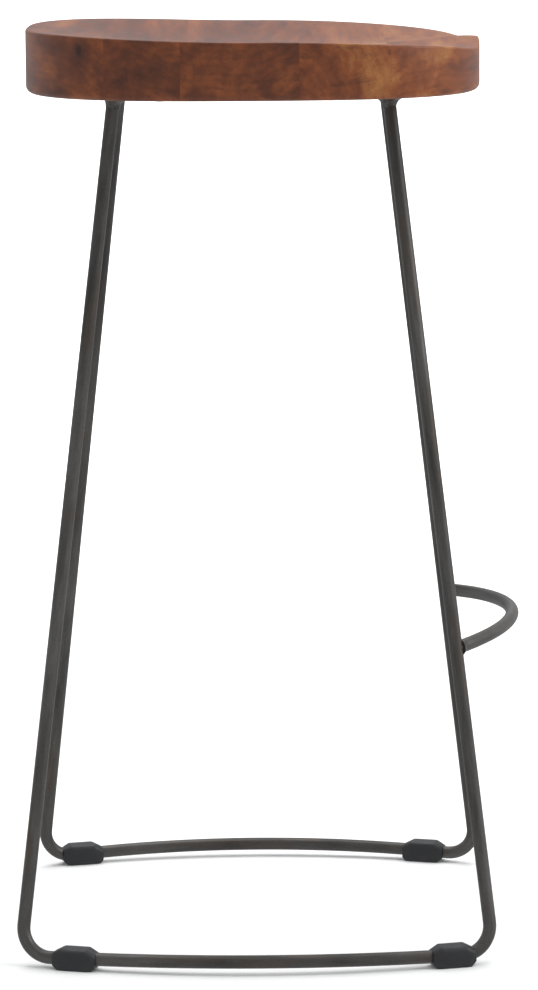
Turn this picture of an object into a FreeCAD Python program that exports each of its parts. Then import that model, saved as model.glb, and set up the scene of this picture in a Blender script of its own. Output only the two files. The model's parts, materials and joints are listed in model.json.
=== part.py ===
import FreeCAD, Part
import math
import os
from FreeCAD import Vector

# Bar stool: a dished hardwood seat glued up from boards, screwed to a flat-bar mount on two bent
# rod side frames, with a bowed footrest rod between the front legs and a glide under each corner.
# Millimetres. +X is the front of the stool, +Y the sitter's left, +Z up, the floor is Z = 0.
# Every X below is measured from the middle of the seat; the finished stool is moved along X at
# the end, so that its origin is on the floor in the middle of its footprint.

# ---- seat ----
seat_height = 760.0            # floor to the top of the back rim
seat_length = 378.0            # front to back
seat_width = 380.0             # side to side
seat_thickness = 52.0          # at the back rim
outline_power = 2.8            # 2 would be an ellipse, more is squarer
dish_depth = 13.0              # hollow in the middle of the seat
dish_flatness = 4.0            # more keeps the dish's floor flat for longer
side_drop = 4.6                # how far the rim falls from the back to the middle of each side
front_drop = 10.0              # and from there to the front
thigh_depth = 2.5              # the two thigh hollows, below the front rim
thigh_offset = 78.0            # from the middle line to each thigh hollow
thigh_spread = 40.0            # how wide each thigh hollow spreads
pommel_rise = 4.5              # the ridge between the thigh hollows, above the front rim
pommel_spread = 26.0           # how wide the ridge spreads
top_edge_radius = 2.0
bottom_edge_radius = 5.0
board_joints = (-119.0, -57.0, 38.5, 112.0)     # glue lines between the boards
board_names = ("back", "rear_middle", "middle", "front_middle", "front")

# ---- mount under the seat ----
bar_thickness = 4.0
bar_width = 30.0
bar_end = 16.0                 # side bar beyond the middle of each leg top
cross_bar_places = (-98.0, 92.0)
bar_corner_radius = 3.0
bar_weld_width = 6.0
bar_weld_height = 1.5

# ---- screws ----
screw_diameter = 4.8
screw_clearance = 0.35         # round the screw in its hole in the bar
screw_bite = 22.0              # length of the screw in the wood
screw_point_length = 4.8
screw_point_diameter = 1.2     # at its very tip
screw_head_diameter = 9.5
screw_head_height = 2.4
screw_head_rounding = 1.4
screw_socket_depth = 1.2
screw_socket_width = 3.0
side_bar_screws = (-76.0, -8.0, 64.0)
cross_bar_screw_offset = 36.0  # either side of the middle line

# ---- side frames, each one bent rod ----
rod_diameter = 11.0
leg_top_back = 114.4           # middle of the seat to the middle of a back leg, at its top
leg_top_front = 112.0
leg_top_spread = 80.0          # middle line to a leg, at its top
foot_back = 195.0              # the same at the floor corners
foot_front = 193.5
foot_spread = 184.5
bend_radius = 24.0             # of the rod's middle line at the floor corners
rail_bow = 36.5                # the floor rail bulges outward by this
rail_arch = 3.2                # and stands this much higher in its middle
rail_straight = 62.0           # straight stretch of rail from each corner
leg_weld_height = 8.5          # of the bead round each leg top
leg_weld_spread = 7.2          # how far it spreads from the rod under the bar
leg_weld_toe = 1.6             # and at its lower end

# ---- footrest ----
footrest_height = 255.7        # where its rod meets the front legs
footrest_reach = 53.0          # how far it bows forward of them
footrest_weld_start = 3.3      # of the bead, from the middle of the leg
footrest_weld_reach = 5.0      # how far it runs along the footrest, past the leg
footrest_weld_spread = 3.0     # how far it spreads from the rod, at the leg
footrest_weld_toe = 0.6        # and at its far end

# ---- glides under the corners ----
glide_length = 37.0
glide_side_wall = 4.5
glide_floor_wall = 3.0
glide_top_wall = 4.0
glide_collar_length = 8.0      # the slimmer end
glide_collar_step = 1.6
glide_round = 5.0              # on the upper long edges
glide_chamfer = 2.5            # at the ends
glide_near_setback = 35.5      # corner to the glide's middle: front right and back left
glide_far_setback = 48.0       # the same: back right and front left

# ---- worked out ----
half_length = seat_length / 2
half_width = seat_width / 2
seat_underside = seat_height - seat_thickness
bar_underside = seat_underside - bar_thickness
rod_radius = rod_diameter / 2
side_bar_inner = leg_top_spread - bar_width / 2
corner_distance = foot_back + foot_front
rail_rise = math.hypot(rail_bow, rail_arch)
rail_half_turn = math.atan(rail_rise / (corner_distance / 2 + rail_straight))
rail_turn = 2 * rail_half_turn
rail_tilt = math.atan2(rail_arch, rail_bow)
glide_mean_setback = (glide_near_setback + glide_far_setback) / 2
corner_lift = glide_mean_setback * math.sin(rail_turn) * math.sin(rail_tilt)
corner_height = rod_radius + glide_floor_wall - corner_lift
glide_width = rod_diameter + 2 * glide_side_wall
glide_height = glide_floor_wall + rod_diameter + glide_top_wall
margin = 10.0                  # how far cutting tools run past what they cut
near = 1.0                     # edges this close to a level count as lying on it


def box(low, high):
    """A box between two opposite corners."""
    size = Vector(*high) - Vector(*low)
    return Part.makeBox(size.x, size.y, size.z, Vector(*low))


def outline_point(turn):
    """The seat's outline in plan, a rounded square."""
    cosine = math.cos(turn)
    sine = math.sin(turn)
    x = math.copysign(abs(cosine) ** (2 / outline_power), cosine) * half_length
    y = math.copysign(abs(sine) ** (2 / outline_power), sine) * half_width
    return Vector(x, y, seat_underside)


def smooth_step(value):
    """0 below 0, 1 above 1, and an even slope between them."""
    held = min(max(value, 0.0), 1.0)
    return held * held * (3 - 2 * held)


def seat_top(x, y):
    """Height of the seat's upper surface."""
    across = abs(x / half_length) ** outline_power
    along = abs(y / half_width) ** outline_power
    ring = (across + along) ** (1 / outline_power)
    dish = dish_depth * max(1 - ring ** dish_flatness, 0.0) ** 2
    forward = max(x / half_length, 0.0)
    drop = side_drop * smooth_step(1 + x / half_length) + front_drop * forward ** 2
    blend = smooth_step(forward)
    thigh = thigh_depth * blend * math.exp(-(((abs(y) - thigh_offset) / thigh_spread) ** 2))
    pommel = pommel_rise * blend * math.exp(-((y / pommel_spread) ** 2))
    return seat_height - dish - drop - thigh + pommel


def space_above_seat():
    """Everything above the dished surface, as a cutting tool."""
    steps = 30
    reach_x = half_length + margin
    reach_y = half_width + margin
    grid = []
    for row in range(steps + 1):
        x = reach_x * (2 * row / steps - 1)
        line = []
        for column in range(steps + 1):
            y = reach_y * (2 * column / steps - 1)
            line.append(Vector(x, y, seat_top(x, y)))
        grid.append(line)
    surface = Part.BSplineSurface()
    surface.interpolate(grid)
    return surface.toShape().extrude(Vector(0, 0, 2 * seat_thickness))


def seat_blank():
    """The whole seat before it is divided into its boards."""
    points = 48
    outline = Part.BSplineCurve()
    outline.interpolate(
        Points=[outline_point(2 * math.pi * (i + 0.5) / points) for i in range(points)],
        PeriodicFlag=True,
    )
    face = Part.Face(Part.Wire(outline.toShape()))
    blank = face.extrude(Vector(0, 0, seat_thickness + margin))
    lower_rim = [e for e in blank.Edges if e.BoundBox.ZMax < seat_underside + near]
    blank = blank.makeFillet(bottom_edge_radius, lower_rim)
    seat = blank.cut(space_above_seat())
    upper_limit = seat_underside + bottom_edge_radius + near
    upper_rim = [e for e in seat.Edges if e.BoundBox.ZMin > upper_limit and not is_upright(e)]
    return seat.makeFillet(top_edge_radius, upper_rim)


def is_upright(edge):
    """The edge runs along Z, as where the seat's outline closes on itself."""
    return edge.BoundBox.XLength < near and edge.BoundBox.YLength < near


def seat_boards(screws):
    """The boards, cut apart at the glue lines and drilled to the screws' own shape."""
    seat = seat_blank()
    limit = half_length + margin
    edges = (-limit,) + board_joints + (limit,)
    boards = {}
    for name, start, end in zip(board_names, edges, edges[1:]):
        slab = box((start, -half_width - margin, 0), (end, half_width + margin, seat_height + margin))
        boards["seat_board_" + name] = seat.common(slab).cut(screws)
    return boards


def leg_top(front, side):
    """Where the middle of a leg meets the underside of the mount."""
    x = leg_top_front if front else -leg_top_back
    return Vector(x, side * leg_top_spread, bar_underside)


def floor_corner(front, side):
    """Where the middle lines of a leg and its floor rail cross."""
    x = foot_front if front else -foot_back
    return Vector(x, side * foot_spread, corner_height)


def unit(vector):
    """The same direction, one long."""
    return vector * (1 / vector.Length)


def rail_direction(front, side):
    """Along the straight end of a floor rail, away from its corner."""
    forward = -1 if front else 1
    out = math.sin(rail_turn)
    return Vector(
        forward * math.cos(rail_turn),
        side * out * math.cos(rail_tilt),
        out * math.sin(rail_tilt),
    )


def corner_arc(front, side):
    """The bend between a leg and its rail, from the leg's end of it to the rail's."""
    corner = floor_corner(front, side)
    up_leg = unit(leg_top(front, side) - corner)
    along_rail = rail_direction(front, side)
    half_angle = up_leg.getAngle(along_rail) / 2
    setback = bend_radius / math.tan(half_angle)
    inward = unit(up_leg + along_rail)
    middle = corner + inward * (bend_radius / math.sin(half_angle) - bend_radius)
    return corner + up_leg * setback, middle, corner + along_rail * setback


def side_rod(side):
    """One side's rod before it is trimmed: back leg, floor rail and front leg."""
    tops = {}
    for front in (False, True):
        lean = unit(leg_top(front, side) - floor_corner(front, side))
        tops[front] = leg_top(front, side) + lean * margin
    back = corner_arc(False, side)
    fore = corner_arc(True, side)
    bow_start = floor_corner(False, side) + rail_direction(False, side) * rail_straight
    bow_end = floor_corner(True, side) + rail_direction(True, side) * rail_straight
    bow_middle = Vector(
        (foot_front - foot_back) / 2,
        side * (foot_spread + rail_bow),
        corner_height + rail_arch,
    )
    pieces = [
        Part.LineSegment(tops[False], back[0]),
        Part.Arc(*back),
        Part.LineSegment(back[2], bow_start),
        Part.Arc(bow_start, bow_middle, bow_end),
        Part.LineSegment(bow_end, fore[2]),
        Part.Arc(fore[2], fore[1], fore[0]),
        Part.LineSegment(fore[0], tops[True]),
    ]
    return swept_rod(pieces)


def swept_rod(pieces):
    """A round rod along joined lines and arcs."""
    path = Part.Wire([piece.toShape() for piece in pieces])
    first = pieces[0]
    start = first.value(first.FirstParameter)
    heading = first.tangent(first.FirstParameter)[0]
    section = Part.Face(Part.Wire(Part.makeCircle(rod_radius, start, heading)))
    return path.makePipe(section)


def side_frame(side):
    """One side's rod, its leg tops sawn off level under the mount."""
    above = box(
        (-seat_length, -seat_width, bar_underside),
        (seat_length, seat_width, seat_height),
    )
    return side_rod(side).cut(above)


def footrest_frame():
    """Ends and middle of the footrest's bowed middle line, and its forward direction."""
    share = (footrest_height - corner_height) / (bar_underside - corner_height)
    ends = {}
    for side in (-1, 1):
        corner = floor_corner(True, side)
        ends[side] = corner + (leg_top(True, side) - corner) * share
    lean = math.atan2(foot_front - leg_top_front, bar_underside - corner_height)
    forward = Vector(math.cos(lean), 0, math.sin(lean))
    middle = (ends[-1] + ends[1]) * 0.5 + forward * footrest_reach
    return ends, middle


def footrest_bow(side_frames):
    """The bowed rod that the feet rest on, its ends coped to the front legs."""
    ends, middle = footrest_frame()
    bow = swept_rod([Part.Arc(ends[-1], middle, ends[1])])
    for frame in side_frames:
        bow = bow.cut(frame)
    return largest_solid(bow)


def largest_solid(shape):
    """The main solid of a shape, without trimmings left by a cope."""
    return max(shape.Solids, key=lambda solid: solid.Volume)


def footrest_welds(side_frames, bow):
    """A bead round each end of the footrest, against its leg."""
    ends, middle = footrest_frame()
    arc = Part.Arc(ends[-1], middle, ends[1])
    beads = []
    for side, place, sign in ((-1, arc.FirstParameter, 1), (1, arc.LastParameter, -1)):
        heading = arc.tangent(place)[0] * sign
        bead = Part.makeCone(
            rod_radius + footrest_weld_spread,
            rod_radius + footrest_weld_toe,
            rod_radius + footrest_weld_reach - footrest_weld_start,
            ends[side] + heading * footrest_weld_start,
            heading,
        )
        for frame in side_frames:
            bead = bead.cut(frame)
        beads.append(largest_solid(bead.cut(bow)))
    return Part.makeCompound(beads)


def leg_top_welds(side_frames, earlier_beads):
    """A tapered bead round each leg top, under the mount, laid up to the beads already there."""
    beads = []
    for side in (-1, 1):
        for front in (False, True):
            top = leg_top(front, side)
            down = unit(floor_corner(front, side) - top)
            middle = top + down * (leg_weld_height / 2)
            low = Vector(middle.x, middle.y, bar_underside - leg_weld_height)
            bead = Part.makeCone(
                rod_radius + leg_weld_toe,
                rod_radius + leg_weld_spread,
                leg_weld_height,
                low,
                Vector(0, 0, 1),
            )
            for piece in side_frames + [earlier_beads]:
                bead = bead.cut(piece)
            beads.append(largest_solid(bead))
    return Part.makeCompound(beads)


def screw_places():
    """Middle of every screw, on the underside of the mount."""
    places = []
    for side in (-1, 1):
        for x in side_bar_screws:
            places.append(Vector(x, side * leg_top_spread, bar_underside))
        for x in cross_bar_places:
            places.append(Vector(x, side * cross_bar_screw_offset, bar_underside))
    return places


def screw_holes():
    """Clearance holes through the bars."""
    radius = screw_diameter / 2 + screw_clearance
    depth = bar_thickness + 2 * margin
    holes = []
    for place in screw_places():
        holes.append(Part.makeCylinder(radius, depth, place - Vector(0, 0, margin)))
    return Part.makeCompound(holes)


def side_bar(side):
    """The bar that joins the two leg tops of one side frame."""
    bar = box(
        (-leg_top_back - bar_end, side * leg_top_spread - bar_width / 2, bar_underside),
        (leg_top_front + bar_end, side * leg_top_spread + bar_width / 2, seat_underside),
    )
    upright = [edge for edge in bar.Edges if is_upright(edge)]
    return bar.makeFillet(bar_corner_radius, upright).cut(screw_holes())


def cross_bar(x):
    """A bar between the side bars, butted against their inner edges."""
    bar = box(
        (x - bar_width / 2, -side_bar_inner, bar_underside),
        (x + bar_width / 2, side_bar_inner, seat_underside),
    )
    return bar.cut(screw_holes())


def bar_welds():
    """A low half-round bead along each butt joint, on the underside."""
    radius = (bar_weld_width ** 2 / 4 + bar_weld_height ** 2) / (2 * bar_weld_height)
    below_bars = box((-seat_length, -seat_width, 0), (seat_length, seat_width, bar_underside))
    beads = []
    for x in cross_bar_places:
        for side in (-1, 1):
            start = Vector(
                x - bar_width / 2,
                side * side_bar_inner,
                bar_underside - bar_weld_height + radius,
            )
            bead = Part.makeCylinder(radius, bar_width, start, Vector(1, 0, 0))
            beads.append(bead.common(below_bars))
    return Part.makeCompound(beads)


def seat_screw(place):
    """A pan-head wood screw with a square socket, driven up from below."""
    head = Part.makeCylinder(
        screw_head_diameter / 2,
        screw_head_height,
        place - Vector(0, 0, screw_head_height),
    )
    lower_edge = [e for e in head.Edges if e.BoundBox.ZMax < place.z - screw_head_height / 2]
    head = head.makeFillet(screw_head_rounding, lower_edge)
    shank_length = bar_thickness + screw_bite - screw_point_length
    shank = Part.makeCylinder(screw_diameter / 2, shank_length, place)
    point = Part.makeCone(
        screw_diameter / 2,
        screw_point_diameter / 2,
        screw_point_length,
        place + Vector(0, 0, shank_length),
    )
    half_socket = screw_socket_width / 2
    bottom = place.z - screw_head_height
    socket = box(
        (place.x - half_socket, place.y - half_socket, bottom - margin),
        (place.x + half_socket, place.y + half_socket, bottom + screw_socket_depth),
    )
    return head.fuse([shank, point]).removeSplitter().cut(socket)


def glide(front, side):
    """A moulded glide on a floor rail, flat underneath, its slimmer collar toward the rail."""
    near = (side < 0) == front
    setback = glide_near_setback if near else glide_far_setback
    heading = rail_direction(front, side)
    centre = floor_corner(front, side) + heading * setback
    half = glide_length / 2
    shoulder = half - glide_collar_length
    body = rounded_block(-half, shoulder, glide_width, 0.0, glide_height)
    collar = rounded_block(
        half,
        shoulder,
        glide_width - 2 * glide_collar_step,
        glide_collar_step / 2,
        glide_height - glide_collar_step,
    )
    block = body.fuse(collar).removeSplitter()
    bearing = math.degrees(math.atan2(heading.y, heading.x))
    block.rotate(Vector(0, 0, 0), Vector(0, 0, 1), bearing)
    block.translate(Vector(centre.x, centre.y, 0))
    return block


def rounded_block(outer, inner, width, low, high):
    """A block along X with rounded upper long edges and its outer end chamfered."""
    block = box((min(outer, inner), -width / 2, low), (max(outer, inner), width / 2, high))
    long_top = []
    for edge in block.Edges:
        if edge.BoundBox.XLength > near and edge.BoundBox.ZMin > high - near:
            long_top.append(edge)
    block = block.makeFillet(glide_round, long_top)
    return block.makeChamfer(glide_chamfer, [e for e in block.Edges if is_at(e, outer)])


def is_at(edge, x):
    """The edge lies wholly at this X."""
    return abs(edge.BoundBox.XMin - x) < near and abs(edge.BoundBox.XMax - x) < near


def build():
    """Every piece by name, the origin still under the middle of the seat."""
    frames = {side: side_frame(side) for side in (-1, 1)}
    both = list(frames.values())
    screws = Part.makeCompound([seat_screw(place) for place in screw_places()])
    bow = footrest_bow(both)
    butt_welds = bar_welds()
    pieces = seat_boards(screws)
    pieces["side_frame_right"] = frames[-1]
    pieces["side_frame_left"] = frames[1]
    pieces["side_bar_right"] = side_bar(-1)
    pieces["side_bar_left"] = side_bar(1)
    pieces["cross_bar_back"] = cross_bar(cross_bar_places[0])
    pieces["cross_bar_front"] = cross_bar(cross_bar_places[1])
    pieces["footrest_bow"] = bow
    pieces["leg_top_welds"] = leg_top_welds(both, butt_welds)
    pieces["footrest_welds"] = footrest_welds(both, bow)
    pieces["bar_welds"] = butt_welds
    pieces["seat_screws"] = screws
    for front, end in ((False, "back"), (True, "front")):
        for side, hand in ((-1, "right"), (1, "left")):
            pieces["floor_glide_%s_%s" % (end, hand)] = glide(front, side).cut(frames[side])
    return pieces


def main():
    """Centres the stool over its footprint and writes one file for each piece."""
    os.makedirs("parts", exist_ok=True)
    pieces = build()
    whole = Part.makeCompound(list(pieces.values())).optimalBoundingBox(False)
    centring = Vector(-(whole.XMin + whole.XMax) / 2, 0, 0)
    for name, shape in pieces.items():
        shape.translate(centring)
        shape.exportStep("parts/%s.step" % name)


main()
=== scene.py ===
import json
import math
from functools import partial

import bpy
from mathutils import Matrix, Vector, noise

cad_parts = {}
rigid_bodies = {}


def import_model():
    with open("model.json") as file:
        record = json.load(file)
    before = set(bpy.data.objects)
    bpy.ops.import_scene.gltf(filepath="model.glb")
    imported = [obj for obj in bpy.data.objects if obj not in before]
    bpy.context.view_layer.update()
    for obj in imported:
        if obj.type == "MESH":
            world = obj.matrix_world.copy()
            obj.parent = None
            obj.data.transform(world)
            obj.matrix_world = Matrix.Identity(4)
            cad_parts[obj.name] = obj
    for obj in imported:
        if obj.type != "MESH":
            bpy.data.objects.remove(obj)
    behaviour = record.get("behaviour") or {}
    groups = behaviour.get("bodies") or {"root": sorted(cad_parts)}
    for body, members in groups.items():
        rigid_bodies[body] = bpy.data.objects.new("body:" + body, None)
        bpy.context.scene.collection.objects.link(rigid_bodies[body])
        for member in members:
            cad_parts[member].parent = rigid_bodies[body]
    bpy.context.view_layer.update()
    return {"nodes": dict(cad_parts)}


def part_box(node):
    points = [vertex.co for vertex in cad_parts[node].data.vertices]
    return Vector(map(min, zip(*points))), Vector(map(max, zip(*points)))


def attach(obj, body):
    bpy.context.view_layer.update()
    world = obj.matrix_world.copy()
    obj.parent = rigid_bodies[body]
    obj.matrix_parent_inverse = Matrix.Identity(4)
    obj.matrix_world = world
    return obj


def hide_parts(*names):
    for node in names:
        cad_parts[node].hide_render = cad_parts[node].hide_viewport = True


bl_info = {
    "name": "Bar stool with footrest",
    "version": (1, 0, 0),
    "blender": (4, 5, 0),
    "location": "3D View > Sidebar > Bar stool",
    "description": "Finishes a dished wooden bar stool on a bent rod frame",
    "category": "Object",
}

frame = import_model()

MM = 0.001
DOUBLES = 0.002 * MM        # points nearer than this are one point
CUT_TOLERANCE = 0.001 * MM
BODY = "root"
SIDES = {"right": -1, "left": 1}
BOARDS = ("back", "rear_middle", "middle", "front_middle", "front")


def linear(hex_text):
    """A linear colour from sRGB hex, such as #8a5a3c."""
    values = []
    for start in (1, 3, 5):
        part = int(hex_text[start : start + 2], 16) / 255
        values.append(part / 12.92 if part <= 0.04045 else ((part + 0.055) / 1.055) ** 2.4)
    return (*values, 1.0)


def colour(name, text, hex_text):
    """A colour property whose default is an sRGB hex value."""
    return bpy.props.FloatVectorProperty(
        name=name, description=text, subtype="COLOR", size=4, min=0, max=1, default=linear(hex_text)
    )


def length(name, text, default):
    """A length property with its default in millimetres."""
    return bpy.props.FloatProperty(
        name=name, description=text, default=default * MM, unit="LENGTH", precision=4
    )


def number(name, text, default, low=0.0, high=1.0):
    """A plain number property."""
    return bpy.props.FloatProperty(name=name, description=text, default=default, min=low, max=high)


# ---------------------------------------------------------------- sizes and colours


class SeatSettings(bpy.types.PropertyGroup):
    """Seat"""

    squareness: number("Squareness", "2 is an ellipse, more is squarer", 2.8, 2, 6)
    dish_depth: length("Dish depth", "Hollow in the middle of the seat", 13)
    side_drop: length("Side drop", "Rim's fall from the back to the middle of each side", 4.6)
    front_drop: length("Front drop", "Rim's fall from the middle of each side to the front", 10)
    thigh_depth: length("Thigh hollow", "Depth of the two thigh hollows at the front rim", 2.5)
    thigh_offset: length("Thigh hollow place", "Middle line to each thigh hollow", 78)
    thigh_spread: length("Thigh hollow spread", "Width of each thigh hollow", 40)
    pommel_rise: length("Pommel", "Height of the ridge between the thighs", 4.5)
    pommel_spread: length("Pommel spread", "Width of the ridge", 26)
    top_radius: length("Top edge", "Rounding of the upper edge", 2)
    bottom_radius: length("Bottom edge", "Rounding of the lower edge", 5)
    sanding: length("Sanding", "Waviness left in the dish by hand sanding", 0.25)


class WoodSettings(bpy.types.PropertyGroup):
    """Wood"""

    dark: colour("Dark streaks", "Mineral streaks and late wood", "#431f0e")
    heart: colour("Heartwood", "The common red-brown", "#643014")
    warm: colour("Warm heartwood", "Orange-brown patches", "#83441c")
    pale: colour("Sapwood", "Golden patches", "#a16936")
    knot: colour("Knot", "Pin knots", "#24110a")
    ring_spacing: length("Ring spacing", "From one growth ring to the next", 6.5)
    pore_length: length("Pore length", "Length of the open pores along the grain", 6)
    pore_width: length("Pore width", "Coarser than real pores, so that they show", 0.5)


class FrameSettings(bpy.types.PropertyGroup):
    """Frame"""

    rod: length("Rod", "Diameter of the bent rods", 11)
    top_back: length("Leg top, back", "Middle of the seat to the middle of a back leg", 114.4)
    top_front: length("Leg top, front", "Middle of the seat to the middle of a front leg", 112)
    top_spread: length("Leg top, side", "Middle line to a leg, at its top", 80)
    foot_back: length("Floor corner, back", "Middle of the seat to the back corners", 195)
    foot_front: length("Floor corner, front", "Middle of the seat to the front corners", 193.5)
    foot_spread: length("Floor corner, side", "Middle line to the floor corners", 184.5)
    corner_height: length("Floor corner, height", "Of the rod's middle line", 7.478)
    bend: length("Bend radius", "Of the rod's middle line at the floor corners", 24)
    bow: length("Rail bow", "How far each floor rail bulges outward", 36.5)
    arch: length("Rail arch", "How much higher each floor rail is in its middle", 3.2)
    straight: length("Rail straight", "Straight stretch of rail from each corner", 62)
    footrest_height: length("Footrest height", "Where its rod meets the front legs", 255.7)
    footrest_reach: length("Footrest reach", "How far it bows forward of them", 52.8)


class WeldSettings(bpy.types.PropertyGroup):
    """Welds and bars"""

    leg_height: length("Leg bead height", "Of the bead round each leg top", 8.5)
    leg_spread: length("Leg bead spread", "How far it spreads from the rod", 7.1)
    foot_reach: length("Footrest bead reach", "How far it runs along the footrest", 4)
    foot_spread: length("Footrest bead spread", "How far it spreads from the rod", 1.8)
    bar_width: length("Bar bead width", "Across the butt joint of two bars", 6)
    bar_height: length("Bar bead height", "How far it stands below the bars", 1.5)
    ripple: length("Ripple", "From one ripple of a bead to the next", 2.6)
    ripple_height: length("Ripple height", "How far a ripple stands out", 0.22)
    bar_edge: length("Bar edge", "Rolled rounding of the flat bars' edges", 0.7)
    bar_corner: length("Bar corner", "Rounding of the side bars' corners", 3)
    screw_hole: length("Screw hole", "Diameter of the holes through the bars", 5.5)


class ScrewSettings(bpy.types.PropertyGroup):
    """Screws"""

    head: length("Head", "Diameter of the pan head", 9.5)
    head_height: length("Head height", "Height of the pan head", 2.4)
    head_rounding: length("Head rounding", "Radius of the head's edge", 1.4)
    socket: length("Socket", "Width of the square socket", 3)
    socket_depth: length("Socket depth", "Depth of the square socket", 1.2)
    thread: length("Thread", "Diameter over the thread", 4.8)
    core: length("Core", "Diameter between the threads", 3.4)
    pitch: length("Pitch", "From one thread to the next", 2.0)
    zinc: colour("Zinc", "The plating's duller patches", "#8d9093")
    bright_zinc: colour("Bright zinc", "Its brighter patches", "#b4b2aa")


class IronSettings(bpy.types.PropertyGroup):
    """Steel finish"""

    dark: colour("Blackening", "Deep parts of the blackened skin", "#383634")
    bright: colour("Rubbed skin", "Where the blackening is rubbed thin", "#615f5c")
    brown: colour("Brown tint", "Faint brown patches under the lacquer", "#4d443c")
    mottle: length("Mottle", "Size of the tonal patches", 16)


class GlideSettings(bpy.types.PropertyGroup):
    """Glides"""

    black: colour("Black", "The plastic's own colour", "#1c1c1e")
    scuffed: colour("Scuffed", "Greyed where it rubs the floor", "#383633")
    length: length("Length", "Along the rail", 37)
    width: length("Width", "Across the rail", 20)
    height: length("Height", "From the floor", 18)
    taper: length("Taper", "Length of each tapered end", 8)
    side_slope: length("Side slope", "How far each side draws in towards the ends", 1.8)
    round: length("Upper rounding", "Radius of the upper long edges", 5)
    nose: length("Nose", "How far the top slopes down to each end", 4)
    chamfer: length("Chamfer", "At the lower edge of the end away from the corner", 3)
    corner_chamfer: length("Corner chamfer", "At the lower edge of the end by the corner", 4.2)
    edge: length("Edge", "Moulded rounding of every other edge", 0.9)
    near_setback: length("Near setback", "Corner to the middle of two of the glides", 35.5)
    far_setback: length("Far setback", "The same for the other two", 48)


class StudioSettings(bpy.types.PropertyGroup):
    """Studio"""

    camera_x: length("Camera X", "Across the stool's middle", 18.9)
    camera_distance: length("Camera distance", "From the stool's middle plane", 4011.8)
    camera_height: length("Camera height", "Above the floor", 952.6)
    pitch: number("Downward tilt", "Radians below the horizon", 0.1461, -2, 2)
    yaw: number("Turn", "Radians towards the stool's front", -0.0051, -2, 2)
    roll: number("Roll", "Radians anticlockwise", -0.0071, -2, 2)
    lens: number("Lens", "Focal length in millimetres on a 36 mm tall sensor", 173.67, 10, 500)
    paper: colour("Paper", "Pale floor and backdrop", "#f7f7f6")
    surround: colour("Surround", "Even light from all round", "#f1f3f6")
    surround_strength: number("Surround strength", "Brightness of that light", 0.72, 0, 5)


# ---------------------------------------------------------------- modelling helpers


def deselect():
    """Leaves object mode with nothing selected."""
    if bpy.context.object and bpy.context.object.mode != "OBJECT":
        bpy.ops.object.mode_set(mode="OBJECT")
    bpy.ops.object.select_all(action="DESELECT")


def only(piece):
    """Selects one object and makes it active."""
    deselect()
    piece.select_set(True)
    bpy.context.view_layer.objects.active = piece


def named(name):
    """The object just added, given its name."""
    piece = bpy.context.object
    piece.name = name
    piece.data.name = name
    return piece


def settle(piece):
    """Bakes the object's place into its mesh, so that the object is at the origin, unturned."""
    only(piece)
    bpy.ops.object.transform_apply(location=True, rotation=True, scale=True)


def edit(piece):
    """Opens a piece for edge work with nothing selected."""
    only(piece)
    bpy.ops.object.mode_set(mode="EDIT")
    bpy.ops.mesh.select_mode(type="EDGE")
    bpy.ops.mesh.select_all(action="DESELECT")


def pick(piece, faces=None, edges=None):
    """In edit mode, selects only the faces or the edges for which the test holds."""
    bpy.ops.mesh.select_all(action="DESELECT")
    bpy.ops.mesh.select_mode(type="FACE" if faces else "EDGE")
    bpy.ops.object.mode_set(mode="OBJECT")
    mesh = piece.data
    if faces:
        for face in mesh.polygons:
            face.select = bool(faces(face))
    if edges:
        for edge in mesh.edges:
            ends = [mesh.vertices[i].co for i in edge.vertices]
            edge.select = bool(edges(*ends))
    bpy.ops.object.mode_set(mode="EDIT")


def extrude(vector):
    """Extrudes what is selected."""
    bpy.ops.mesh.extrude_region_move(TRANSFORM_OT_translate={"value": tuple(vector)})


def scale_about(centre, *value):
    """Scales what is selected about a point."""
    bpy.ops.transform.resize(value=value, center_override=tuple(centre))


def bevel_where(piece, test, offset, segments=1):
    """Bevels the edges for which the test holds."""
    pick(piece, edges=test)
    bpy.ops.mesh.bevel(offset=offset, segments=segments, affect="EDGES")


def cut_flat(piece, place, way, **cleared):
    """Cuts a piece along a plane, closes the cut and clears one side of it."""
    edit(piece)
    bpy.ops.mesh.select_all(action="SELECT")
    bpy.ops.mesh.bisect(plane_co=place, plane_no=way, use_fill=True, threshold=CUT_TOLERANCE, **cleared)
    bpy.ops.object.mode_set(mode="OBJECT")


def block(name, middle, size):
    """A block, ready to be shaped."""
    deselect()
    bpy.ops.mesh.primitive_cube_add(size=1, location=middle)
    piece = named(name)
    piece.scale = size
    settle(piece)
    return piece


def open_ring(name, place, heading, radius, vertices):
    """A ring across a heading, open for editing, ready to be drawn out along it."""
    deselect()
    turn = heading.to_track_quat("Z", "Y").to_euler()
    bpy.ops.mesh.primitive_circle_add(vertices=vertices, radius=radius, location=place, rotation=turn)
    piece = named(name)
    settle(piece)
    edit(piece)
    bpy.ops.mesh.select_all(action="SELECT")
    return piece


def outward(piece):
    """Merges doubles and turns every face outward."""
    edit(piece)
    bpy.ops.mesh.select_all(action="SELECT")
    bpy.ops.mesh.remove_doubles(threshold=DOUBLES)
    bpy.ops.mesh.normals_make_consistent(inside=False)
    bpy.ops.object.mode_set(mode="OBJECT")


def cap_ends():
    """Closes the ring just made, then the one at the other end."""
    bpy.ops.mesh.edge_face_add()
    bpy.ops.mesh.select_all(action="DESELECT")
    bpy.ops.mesh.select_non_manifold()
    bpy.ops.mesh.edge_face_add()


def smooth(piece, degrees=35):
    """Smooth shading, broken at edges sharper than the angle."""
    only(piece)
    bpy.ops.object.shade_smooth_by_angle(angle=math.radians(degrees))


def apply_modifier(piece, kind, **settings):
    """Adds a modifier, sets it and applies it."""
    only(piece)
    modifier = piece.modifiers.new(kind.lower(), kind)
    for key, value in settings.items():
        setattr(modifier, key, value)
    bpy.ops.object.modifier_apply(modifier=modifier.name)


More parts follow.
